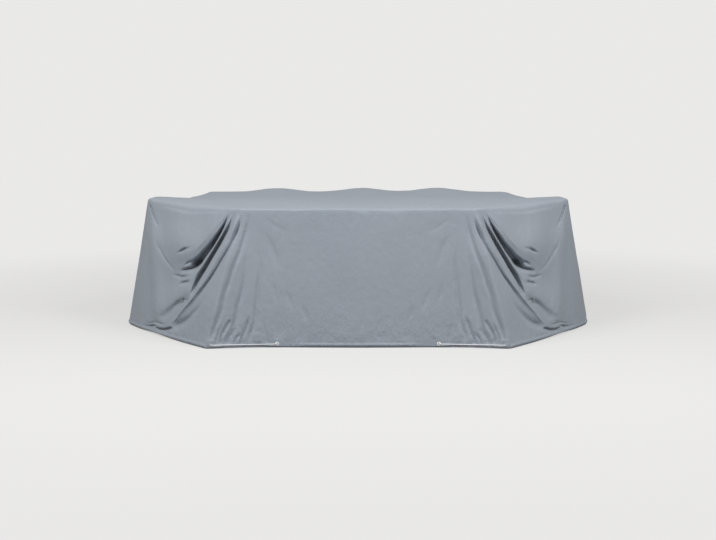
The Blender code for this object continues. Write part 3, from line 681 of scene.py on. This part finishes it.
def fold_field(x, z):
    """How far the folds push the wall, at each x and z of the front half: to the front, and outward."""
    right = eased((x + MIDDLE_BLEND) / (2 * MIDDLE_BLEND))
    place = np.stack((np.abs(x) + RIGHT_SHIFT * right, z), -1)
    push = {"front": np.zeros(len(x)), "out": np.zeros(len(x))}
    for way, depth, first, second, edge, narrow, grows, fades, line in FOLD_LINES:
        reach = FOLD_REACH * max(first, second)
        low, high = line.min(axis=0) - reach, line.max(axis=0) + reach
        near = np.flatnonzero(((place > low) & (place < high)).all(axis=1))
        if not len(near):
            continue
        step = np.diff(line, axis=0)
        offset = place[near][:, None, :] - line[:-1]
        along = np.clip((offset * step).sum(-1) / (step**2).sum(-1), 0, 1)
        away = offset - along[..., None] * step
        turn = step[:, 0] * away[..., 1] - step[:, 1] * away[..., 0]
        share = (np.arange(len(step)) + along) / len(step)
        width = np.where(turn > 0, first, second) * (narrow + (1 - narrow) * eased(share / grows))
        swell = eased(share / grows) * eased((1 - share) / fades)
        form = swell * np.exp(-(np.linalg.norm(away, axis=-1) / width) ** edge)
        push[way][near] -= depth * form.max(axis=1)
    for name, height, middle_x, middle_z, size_x, size_z in BULGES:
        spread = ((np.abs(x) - middle_x) / size_x) ** 2 + ((z - middle_z) / size_z) ** 2
        push["front"] += height * np.exp(-spread)
    share = 1 - (1 - RIGHT_DEPTH) * right
    return push["front"] * share, push["out"] * share


print(len(FOLD_LINES), "fold lines with", sum(len(row[-1]) for row in FOLD_LINES), "points")


# %% How far the loose cloth stands out between the folds
def top_bumps(x, y):
    total = np.zeros(len(x))
    for name, middle_x, middle_y, height, size_x, size_y in TOP_BUMPS:
        total += height * np.exp(-(((x - middle_x) / size_x) ** 2) - ((y - middle_y) / size_y) ** 2)
    return total


def slack(points):
    """The soft unevenness of loose cloth at each point. Its waves are longer downwards than across."""
    return np.array([
        sum(height * noise.noise((x / size, y / size, z / (size * tall) + SLACK_APART * k))
            for k, (size, tall, height) in enumerate(SLACK))
        for x, y, z in points
    ])


def draped(columns, z):
    """How far the drapes of the ends and the back push the cloth out, at one height for each column."""
    down = np.clip(1 - z / TOP_HEIGHT, 0, 1)
    total = np.zeros(len(columns))
    for column, lean, depth, width, start in DRAPES:
        across = (columns - column - lean * down) / (width * (DRAPE_TOP_WIDTH + DRAPE_SPREAD * down))
        total += depth * eased((down - start) / DRAPE_GROWS) * (across**2 - 1) * np.exp(-(across**2) / 2)
    return total


def gathered(x, y, z):
    """How far the gathers in the slanting hems lift the cloth."""
    near = np.exp(-(((np.abs(x) - GATHER_MIDDLE) / GATHER_SIZE) ** 2)) * eased(-y / GATHER_DEPTH)
    return GATHER_LIFT * near * (1 - eased(z / GATHER_HEIGHT))


print(f"slack of {sum(height for *size, height in SLACK) * 1000:.1f} mm at most")

# %% The whole surface
FOLDS_BACK_TO, FOLDS_BACK_FADE = 0.12, 0.14  # y at which the folds end, and over how much
FOLD_CLEAR, FOLD_FADE_TOP, FOLD_FADE_HEM = 0.004, 0.035, 0.03
SLACK_CLEAR, SLACK_FADE_HEM, SLACK_FADE_WALL = 0.01, 0.05, 0.15
SLACK_TOP_END, SLACK_FADE_TOP = 0.9, 0.3


def outward(columns):
    """The level direction that points out of the wall at each column."""
    ahead = outline(columns + 1.0)
    behind = outline(columns - 1.0)
    run_x = (ahead[0] + ahead[3]) - (behind[0] + behind[3])
    run_y = (ahead[1] + ahead[4]) - (behind[1] + behind[4])
    direction = np.stack((run_y, -run_x, np.zeros_like(run_x)), -1)
    return direction / np.linalg.norm(direction, axis=1, keepdims=True)


def cover_surface(columns, rings):
    """The cloth's outer face as an array of points, ring by ring and column by column."""
    direction = outward(columns)
    surface = []
    for ring in rings:
        points = plain_surface(columns, ring)
        x, y, z = points.T
        hang = eased((z - TOP_HEIGHT + BUMP_HANG) / BUMP_HANG)
        if ring > 1:
            front = eased((FOLDS_BACK_TO - y) / FOLDS_BACK_FADE)
            below_edge = eased((TOP_HEIGHT - FOLD_CLEAR - z) / FOLD_FADE_TOP)
            to_front, out = fold_field(x, z) * front * (below_edge * eased((z - FOLD_CLEAR) / FOLD_FADE_HEM))
            loose = (slack(points) + draped(columns, z)) * eased((ring - 1) / SLACK_FADE_WALL)
            out += loose * eased((z - SLACK_CLEAR) / SLACK_FADE_HEM)
            points = points + direction * out[:, None]
            points[:, 1] -= to_front
        else:
            loose = slack(points * (1, 1, 0)) * eased((1 - ring) / SLACK_FADE_TOP)
            points[:, 2] += loose * eased((SLACK_TOP_END + ring) / SLACK_FADE_TOP)
        points[:, 2] += top_bumps(x, y) * hang + gathered(x, y, z)
        surface.append(points)
    return np.array(surface)


print("top of the wall at column 4:", cover_surface(np.array([4.0]), [1.0])[0, 0].round(3))

# %% The hem, and the level places in it
PATCH_REACH = 0.51  # columns
PATCH_MARGIN = 0.01


def hem_shape(z, columns):
    """How far the channel for the cord stands out of the hem, and how far the hem's edge turns under."""
    columns = np.abs(columns)
    beside_cord = eased((columns - CORD_FROM) / TURN_EASE[0]) * eased((CORD_TO - columns) / TURN_EASE[1])
    clear = 1 - eased(columns - CORD_FROM + CHANNEL_BEFORE) * eased(CORD_TO + CHANNEL_AFTER - columns)
    up = np.clip((z - CHANNEL_LOW) / CHANNEL_HEIGHT, 0, 1)
    channel = CHANNEL * clear * np.sin(up * math.pi) ** CHANNEL_ROUNDNESS
    height = TURN_HEIGHT + TURN_BESIDE_CORD * beside_cord
    return channel - TURN * (1 - eased(z / height))


def flat_patches(surface, columns, rings):
    """Moves the cloth round each cord hole level onto the hole's plane, and tells where it did so."""
    flat = np.zeros(surface.shape[:2], bool)
    for name, first, middle, direction in cord_holes:
        centre = first + 0.5 * np.sign(first)
        patch = (rings[:, None] > PATCH_RING - PATCH_MARGIN) & (np.abs(columns - centre) < PATCH_REACH)
        level = np.array((direction.x, direction.y, 0))
        level /= level @ level
        above = (surface[patch] - middle) @ np.array(direction) - HEM_THICKNESS / 2
        surface[patch] -= above[:, None] * level
        flat |= patch
    return flat


print("columns turned under beside a cord:", CORD_FROM, "to", CORD_TO)

# %% [markdown]
# ## The cloth as a mesh
# The surface is worked out on a grid fine enough for the narrow creases, which is far more than its flat
# parts need. So the Decimate modifier thins it, and keeps its triangles where the cloth bends. It leaves some
# slivers, which can show as dark dots, so their longest edges are turned. Then the cloth gets its thickness.
# Solidify would do, but the doubled hem is thicker than the rest, and the lower edge has to stay on the
# ground, so a few lines of mesh code place the inner face.

# %% The fine grid
COLUMN_STEPS = 8
TOP_RINGS, EDGE_RINGS, WALL_RINGS, HEM_RINGS = 20, 7, 190, 20
TOP_INNER_RING, TOP_CROWDING = 0.985, 1.3  # the top's rings lie closer towards its edge
HEM_FROM = 1.972

columns = np.arange(-HALF_COLUMNS * COLUMN_STEPS, HALF_COLUMNS * COLUMN_STEPS) / COLUMN_STEPS
rings = np.concatenate((
    -np.linspace(TOP_INNER_RING, 0.0, TOP_RINGS, endpoint=False) ** TOP_CROWDING,
    np.linspace(0, 1, EDGE_RINGS, endpoint=False),
    np.linspace(1, HEM_FROM, WALL_RINGS, endpoint=False),
    np.linspace(HEM_FROM, 2, HEM_RINGS),
))
cover = cover_surface(columns, rings)
flat = flat_patches(cover, columns, rings)
cover += outward(columns) * hem_shape(cover[..., 2], columns)[..., None]
print("grid of", cover.shape[0], "rings and", cover.shape[1], "columns")


# %% Make it a mesh, and thin it
CLOTH_TRIANGLES = 92000
SLIVER = 0.03  # height of a triangle as a share of its longest edge
SLIVER_HEIGHT = 0.0004


def outer_face():
    """The grid as a mesh, closed in the middle of the top and thinned, but not round the cord holes."""
    shape = bmesh.new()
    grid = [[shape.verts.new(point) for point in ring] for ring in cover]
    for above, below in zip(grid, grid[1:]):
        for here, there in zip(range(len(columns)), [*range(1, len(columns)), 0]):
            shape.faces.new((above[here], below[here], below[there], above[there]))
    middle = [shape.edges.get((first, second)) for first, second in zip(grid[0], grid[0][1:] + grid[0][:1])]
    bmesh.ops.triangle_fill(shape, use_beauty=True, edges=middle)
    bmesh.ops.recalc_face_normals(shape, faces=shape.faces)
    bmesh.ops.triangulate(shape, faces=shape.faces)
    fine = add_piece("fine_cloth", shape)
    thinned = fine.vertex_groups.new(name="thinned")
    thinned.add(np.flatnonzero(~flat.ravel()).tolist(), 1.0, "REPLACE")
    thin = fine.modifiers.new("thin", "DECIMATE")
    thin.ratio = CLOTH_TRIANGLES / len(fine.data.polygons)
    thin.vertex_group = thinned.name
    mesh = bpy.data.meshes.new_from_object(fine.evaluated_get(bpy.context.evaluated_depsgraph_get()))
    bpy.data.objects.remove(fine)
    thinner = bmesh.new()
    thinner.from_mesh(mesh)
    return thinner


def turn_slivers(shape):
    """Turns the longest edge of each triangle whose corners lie nearly in one line."""
    longest = {}
    for face in shape.faces:
        edge = max(face.edges, key=lambda edge: edge.calc_length())
        if 2 * face.calc_area() < SLIVER * edge.calc_length() ** 2 and not edge.is_boundary:
            longest[edge] = True
    bmesh.ops.rotate_edges(shape, edges=list(longest))
    bmesh.ops.dissolve_degenerate(shape, dist=SLIVER_HEIGHT, edges=shape.edges)
    bmesh.ops.triangulate(shape, faces=shape.faces)
    shape.normal_update()
    return len(longest)


outer = outer_face()
print(turn_slivers(outer), "slivers turned,", len(outer.faces), "triangles left")

# %% Give it its thickness and its hem
CLOTH_THICKNESS = 0.0013
HEM_HEIGHT = 0.040
HEM_STEP = 0.003  # over which the cloth gets thicker there
SHARPEST_SHELL = 1.5  # how much thicker a sharp fold may be made, to keep its walls' thickness


def cloth_shell(shape):
    """Adds the inner face, one cloth thickness in, and joins it to the outer one along the hem."""
    inner = {}
    for corner in list(shape.verts):
        hem = float(eased((HEM_HEIGHT + HEM_STEP - corner.co.z) / HEM_STEP))
        thickness = CLOTH_THICKNESS + (HEM_THICKNESS - CLOTH_THICKNESS) * hem
        direction = corner.normal * min(corner.calc_shell_factor(), SHARPEST_SHELL)
        if corner.is_boundary:
            x, y, z = corner.co
            corner.co.z = gathered(x, y, 0)
            direction.z = 0
        inner[corner] = shape.verts.new(corner.co - direction * thickness)
    rims = [edge for edge in shape.edges if edge.is_boundary]
    for face in list(shape.faces):
        shape.faces.new([inner[corner] for corner in reversed(face.verts)])
    for edge in rims:
        order = list(edge.link_faces[0].verts)
        first, second = edge.verts
        if order[(order.index(first) + 1) % len(order)] == second:
            first, second = second, first
        shape.faces.new((first, second, inner[second], inner[first]))
        edge.smooth = shape.edges.get((inner[first], inner[second])).smooth = False
    return shape


def lay_weave(piece):
    """A UV map in metres that lays the weave flat on each side of the cover."""
    layer = piece.data.uv_layers.new(name="weave")
    for face in piece.data.polygons:
        x, y, z = (abs(value) for value in face.normal)
        pair = (0, 1) if z > max(x, y) else (0, 2) if y > x else (1, 2)
        for loop in face.loop_indices:
            place = piece.data.vertices[piece.data.loops[loop].vertex_index].co
            layer.data[loop].uv = (place[pair[0]], place[pair[1]])


cloth = add_piece("draped_cover_cloth", cloth_shell(outer))
lay_weave(cloth)
print("cloth", triangles(cloth), "triangles")

# %% [markdown]
# ### The cloth's finish
# The cover is woven polyester with a dull proofing: a grey blue that is matt, with a faint sheen at grazing
# angles. Four things show, from far to near: broad, faint patches where the cloth has faded; the crinkle that
# folding leaves, more of it low down, and under a millimetre high, so it is left to a bump; thread streaks;
# and the plain weave itself. Streaks and weave follow the cloth's own UV map.

# %% Cloth finish
FABRIC_BLUE = (0.294, 0.330, 0.377, 1)
FABRIC_PALE = (0.330, 0.366, 0.408, 1)
THREAD_PITCH = 0.0011
CRINKLE = (34.0, 34.0, 20.0)  # to a metre
CRINKLE_LOW, CRINKLE_GAIN, CRINKLE_ABOVE = 0.25, 5.0, 0.6  # below this height it gets stronger
STREAK = (14.0, 260.0, 1.0)  # to a metre, along a thread and across it


def cloth_finish():
    made = Finish("cover_polyester")
    place = made.place()
    weave = made.node("ShaderNodeUVMap", {"uv_map": "weave"})
    turns = made.node("ShaderNodeMapping", None, {"Vector": weave, "Scale": (math.pi / THREAD_PITCH,) * 3})
    turns = made.node("ShaderNodeSeparateXYZ", None, {0: turns}, "X")
    warp, weft = turns.math("SINE"), turns.beside("Y").math("SINE")
    over = warp * weft * 0.5 + 0.5
    threads = warp.math("ABSOLUTE") * over + weft.math("ABSOLUTE") * (1 - over)
    along, across, depth = STREAK
    streaks = made.noise(weave, 1.0, 2.0, 0.6, STREAK)
    streaks += made.noise(weave, 1.0, 2.0, 0.6, (across, along, depth))
    patches = made.noise(place, 1.7, 4.0, 0.6)
    mottle = made.noise(place, 38.0, 3.0, 0.7)
    pale = patches * 1.1 + mottle * 0.35 + streaks * 0.25 - 0.75
    shade = made.blend(pale, FABRIC_BLUE, FABRIC_PALE)
    low = (CRINKLE_LOW - made.node("ShaderNodeSeparateXYZ", None, {0: place}, "Z")) * CRINKLE_GAIN
    crinkle = made.noise(place, 1.0, 4.0, 0.6, CRINKLE) * (low.math("MAXIMUM", 0.0) + CRINKLE_ABOVE)
    relief = made.bump(threads * 0.6 + streaks * 0.4, 0.0002, 0.35, Normal=made.bump(crinkle, 0.008, 0.70))
    rough = mottle * 0.10 + threads * 0.06 + 0.72
    return made.surface(
        Base_Color=shade, Roughness=rough, Normal=relief, Sheen_Weight=0.12, Sheen_Roughness=0.5
    )


cover_polyester = cloth_finish()
cloth.data.materials.append(cover_polyester)
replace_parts(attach(cloth, "root"), "cover_cloth")
print("cloth finish", len(cover_polyester.node_tree.nodes), "nodes")

# %% [markdown]
# ## The hem's stitches
# A row of stitches closes the hem all round. Each stitch is the same little bar of thread, and there are well
# over a thousand, so this is work for Geometry Nodes: one tree cuts a line into even steps, puts a bar on
# each and turns it along the line. Its named inputs set the spacing and the size of a stitch.

# %% The line that the stitches follow
STITCH_HEIGHT = 0.0355
STITCH_PROUD = 0.0003


def hem_line():
    """Points round the outer face of the cloth at the height of the stitches."""
    walls = cover[TOP_RINGS + EDGE_RINGS:]
    above = walls[..., 2] > STITCH_HEIGHT
    last = above.sum(axis=0) - 1
    here = walls[last, np.arange(len(columns))]
    there = walls[np.minimum(last + 1, len(walls) - 1), np.arange(len(columns))]
    share = (here[:, 2] - STITCH_HEIGHT) / np.maximum(here[:, 2] - there[:, 2], 1e-9)
    return here + (there - here) * share[:, None] + outward(columns) * STITCH_PROUD


def closed_curve(name, points):
    curve = bpy.data.curves.new(name, "CURVE")
    curve.dimensions = "3D"
    spline = curve.splines.new("POLY")
    spline.points.add(len(points) - 1)
    spline.points.foreach_set("co", np.hstack((points, np.ones((len(points), 1)))).ravel())
    spline.use_cyclic_u = True
    return put(name, curve)


stitch_guide = closed_curve("stitch_guide", hem_line())
print(len(stitch_guide.data.splines[0].points), "points round the hem")


# %% The stitching tree
STITCH_SIZES = {"Spacing": 0.0062, "Stitch length": 0.0048, "Thread radius": 0.00045}


def stitch_tree():
    """A tree that lays a bar of thread at every step of a line."""
    made = Net(bpy.data.node_groups.new("hem_stitches", "GeometryNodeTree"))
    kinds = {"Line": "Geometry", **dict.fromkeys(STITCH_SIZES, "Float"), "Thread": "Material"}
    for name, kind in kinds.items():
        made.tree.interface.new_socket(name, in_out="INPUT", socket_type="NodeSocket" + kind)
    made.tree.interface.new_socket("Stitches", in_out="OUTPUT", socket_type="NodeSocketGeometry")
    line = made.node("NodeGroupInput", None, None, "Line")
    spacing, length, radius, thread = (line.beside(name) for name in [*STITCH_SIZES, "Thread"])
    steps = made.node("GeometryNodeCurveToPoints", {"mode": "LENGTH"}, {"Curve": line, "Length": spacing})
    bar = made.node("GeometryNodeMeshUVSphere", None, {"Segments": 6, "Rings": 5, "Radius": 1.0})
    size = made.node("ShaderNodeCombineXYZ", None, {"X": radius, "Y": radius, "Z": length * 0.5})
    bar = made.node("GeometryNodeTransform", None, {"Geometry": bar, "Scale": size})
    placed = {"Points": steps, "Instance": bar, "Rotation": steps.beside("Rotation")}
    placed = made.node("GeometryNodeInstanceOnPoints", None, placed)
    real = made.node("GeometryNodeRealizeInstances", None, {"Geometry": placed})
    painted = made.node("GeometryNodeSetMaterial", None, {"Geometry": real, "Material": thread})
    made.node("NodeGroupOutput", None, {"Stitches": painted}, None)
    return made.tree


stitching = stitch_tree()
print("stitching tree with", len(stitching.nodes), "nodes")


# %% The stitches
def run_tree(name, guide, tree, values):
    """The plain mesh that a Geometry Nodes tree makes from a guide, which is then removed."""
    modifier = guide.modifiers.new(name, "NODES")
    modifier.node_group = tree
    for socket in tree.interface.items_tree:
        if socket.name in values:
            modifier[socket.identifier] = values[socket.name]
    made = guide.evaluated_get(bpy.context.evaluated_depsgraph_get())
    mesh = bpy.data.meshes.new_from_object(made)
    bpy.data.objects.remove(guide)
    mesh.shade_smooth()
    return put(name, mesh)


THREAD_DARK = (0.235, 0.260, 0.300, 1)
THREAD_LIGHT = (0.345, 0.370, 0.410, 1)


def thread_finish():
    made = Finish("hem_thread")
    twist = made.noise(made.place(), 900.0, 2.0, 0.6)
    shade = made.blend(twist, THREAD_DARK, THREAD_LIGHT)
    return made.surface(Base_Color=shade, Roughness=twist * 0.2 + 0.45)


stitch_inputs = {**STITCH_SIZES, "Thread": thread_finish()}
stitches = run_tree("hem_stitches", stitch_guide, stitching, stitch_inputs)
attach(stitches, "root")
print("stitches", triangles(stitches), "triangles")

# %% [markdown]
# ## The eyelets
# An eyelet is a short tube of thin steel in white enamel, pushed through the hem, with its rim rolled over in
# front and a flat washer behind. A ring with square edges would catch no light. So its profile is drawn with
# the rolled rim, and spun round its own axis.

# %% The eyelet's shape
EYELET_DIAMETER = 0.022
EYELET_WALL = 0.0012
EYELET_STEPS = 56
RIM_STEPS = 9
RIM_ROUNDNESS = 0.7
WASHER_BEVEL = 0.0006


def eyelet_profile():
    """Radius and height of the rolled front rim, the barrel and the flat washer behind."""
    seat = HEM_THICKNESS / 2 + EYELET_GAP
    hole, barrel, rim = EYELET_HOLE / 2, EYELET_HOLE / 2 + EYELET_WALL, EYELET_DIAMETER / 2
    roll = np.linspace(0, math.pi, RIM_STEPS)
    middle, reach = (hole + rim) / 2, (rim - hole) / 2
    front = [(middle + reach * math.cos(turn), seat + EYELET_FLANGE * math.sin(turn) ** RIM_ROUNDNESS)
             for turn in roll]
    back = [(hole, -seat - EYELET_FLANGE * 0.7), (hole + 0.0005, -seat - EYELET_FLANGE)]
    back += [(rim - WASHER_BEVEL, -seat - EYELET_FLANGE), (rim, -seat - EYELET_FLANGE * 0.5), (rim, -seat)]
    return front + back + [(barrel, -seat), (barrel, seat)]


def rolled_eyelet(name, place, material):
    shape = bmesh.new()
    corners = [shape.verts.new((radius, 0, height)) for radius, height in eyelet_profile()]
    edges = [shape.edges.new(pair) for pair in zip(corners, corners[1:] + corners[:1])]
    spun = {"cent": (0, 0, 0), "axis": (0, 0, 1), "angle": 2 * math.pi, "steps": EYELET_STEPS}
    bmesh.ops.spin(shape, geom=corners + edges, use_merge=True, **spun)
    bmesh.ops.remove_doubles(shape, verts=shape.verts, dist=0.00001)
    bmesh.ops.recalc_face_normals(shape, faces=shape.faces)
    shape.transform(place)
    return add_piece(name, shape, material)


print(len(eyelet_profile()), "corners in the profile")

# %% The eyelets' finish and places
ENAMEL_WHITE = (0.90, 0.90, 0.92, 1)
ENAMEL_DULL = (0.74, 0.74, 0.76, 1)


def eyelet_finish():
    made = Finish("enamelled_steel")
    wear = made.noise(made.place(), 260.0, 4.0, 0.7)
    dull = made.noise(made.place(), 45.0, 3.0, 0.6)
    shade = made.blend(dull, ENAMEL_WHITE, ENAMEL_DULL)
    rough = wear * 0.18 + dull * 0.15 + 0.22
    return made.surface(Base_Color=shade, Roughness=rough, Normal=made.bump(wear, 0.0001, 0.25))


enamelled_steel = eyelet_finish()
for name, first, middle, direction in cord_holes:
    if name.endswith("front"):
        ring = rolled_eyelet(f"rolled_{name}_eyelet", facing(middle, direction), enamelled_steel)
        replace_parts(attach(ring, "root"), f"{name}_eyelet")

# %% [markdown]
# ## What the cloth was cut from
# A sheet keeps its area when it is hung. The corners of this one are cut away, so it isn't a rectangle: laid
# flat, it would fill most of a cross about 4 m by 3 m.

# %% [markdown]
# ## Floor and light
# The photograph is a studio picture on a pale ground without a horizon, lit by large soft lamps above and in
# front, with shallow shadows. Area lights give the direction, and the surroundings fill in evenly. A white
# floor would throw much light up under the folds, which the photograph doesn't show, so the floor and the
# surroundings are pale to the camera and darker to the light that bounces off them. Away from the cover the
# floor fades into the background.

# %% The floor
FLOOR_SHADE = (0.71, 0.705, 0.695, 1)
FLOOR_BOUNCE = (0.30, 0.30, 0.30, 1)
STUDIO_WHITE = (1, 0.995, 0.985, 1)
BACKGROUND = 0.82
GLOW = 0.62  # how much of the floor's brightness is the background's, at the cover
GLOW_FROM, GLOW_TO = 1.2, 5.0  # distances between which that grows to all of it
FLOOR_REACH = 60


def add_floor():
    """A floor that is lit as a dark one, but that the camera sees fade into the background."""
    shape = bmesh.new()
    bmesh.ops.create_grid(shape, x_segments=1, y_segments=1, size=FLOOR_REACH)
    made = Finish("pale_floor")
    seen = made.node("ShaderNodeLightPath", None, None, "Is Camera Ray")
    distance = made.node("ShaderNodeVectorMath", {"operation": "LENGTH"}, {0: made.place()}, "Value")
    reach = {"Value": distance, "From Min": GLOW_FROM, "From Max": GLOW_TO, "To Min": GLOW}
    glow = made.node("ShaderNodeMapRange", {"interpolation_type": "SMOOTHSTEP"}, reach) * seen
    shade = made.blend(seen, FLOOR_BOUNCE, FLOOR_SHADE)
    floor = made.surface(Base_Color=shade, Roughness=0.9, Specular_IOR_Level=0.1)
    white = made.node("ShaderNodeEmission", None, {"Color": STUDIO_WHITE, "Strength": BACKGROUND})
    lit = Wire(made, made.shader.outputs[0])
    mixed = made.node("ShaderNodeMixShader", None, {0: glow, 1: lit, 2: white})
    made.set(made.tree.nodes["Material Output"], {"Surface": mixed})
    return add_piece("studio_floor", shape, floor)


add_floor()
print("the floor reaches", FLOOR_REACH, "m each way")

# %% The lamps and the surroundings
SURROUNDING = 0.33
LAMP_SIZE = 2.0
LAMP_AIM = (0, 0, 0.3)
LAMPS = (
    ("left_lamp", (-2.45, -2.75, 3.85), 140),
    ("right_lamp", (2.6, -2.65, 3.85), 134),
)


def surroundings():
    made = Finish("studio", bpy.data.worlds, "Background")
    seen = made.node("ShaderNodeLightPath", None, None, "Is Camera Ray")
    reach = {"Value": seen, "To Min": SURROUNDING, "To Max": BACKGROUND}
    return made.surface(Color=STUDIO_WHITE, Strength=made.node("ShaderNodeMapRange", None, reach))


for name, place, power in LAMPS:
    lamp = put(name, bpy.data.lights.new(name, "AREA"))
    lamp.data.size, lamp.data.energy = LAMP_SIZE, power
    lamp.location = place
    lamp.rotation_euler = (Vector(LAMP_AIM) - Vector(place)).to_track_quat("-Z", "Y").to_euler()
bpy.context.scene.world = surroundings()
bpy.context.scene.view_settings.view_transform = "Standard"
print(len(LAMPS), "lamps of", LAMPS[0][-1], "and", LAMPS[1][-1], "watts")
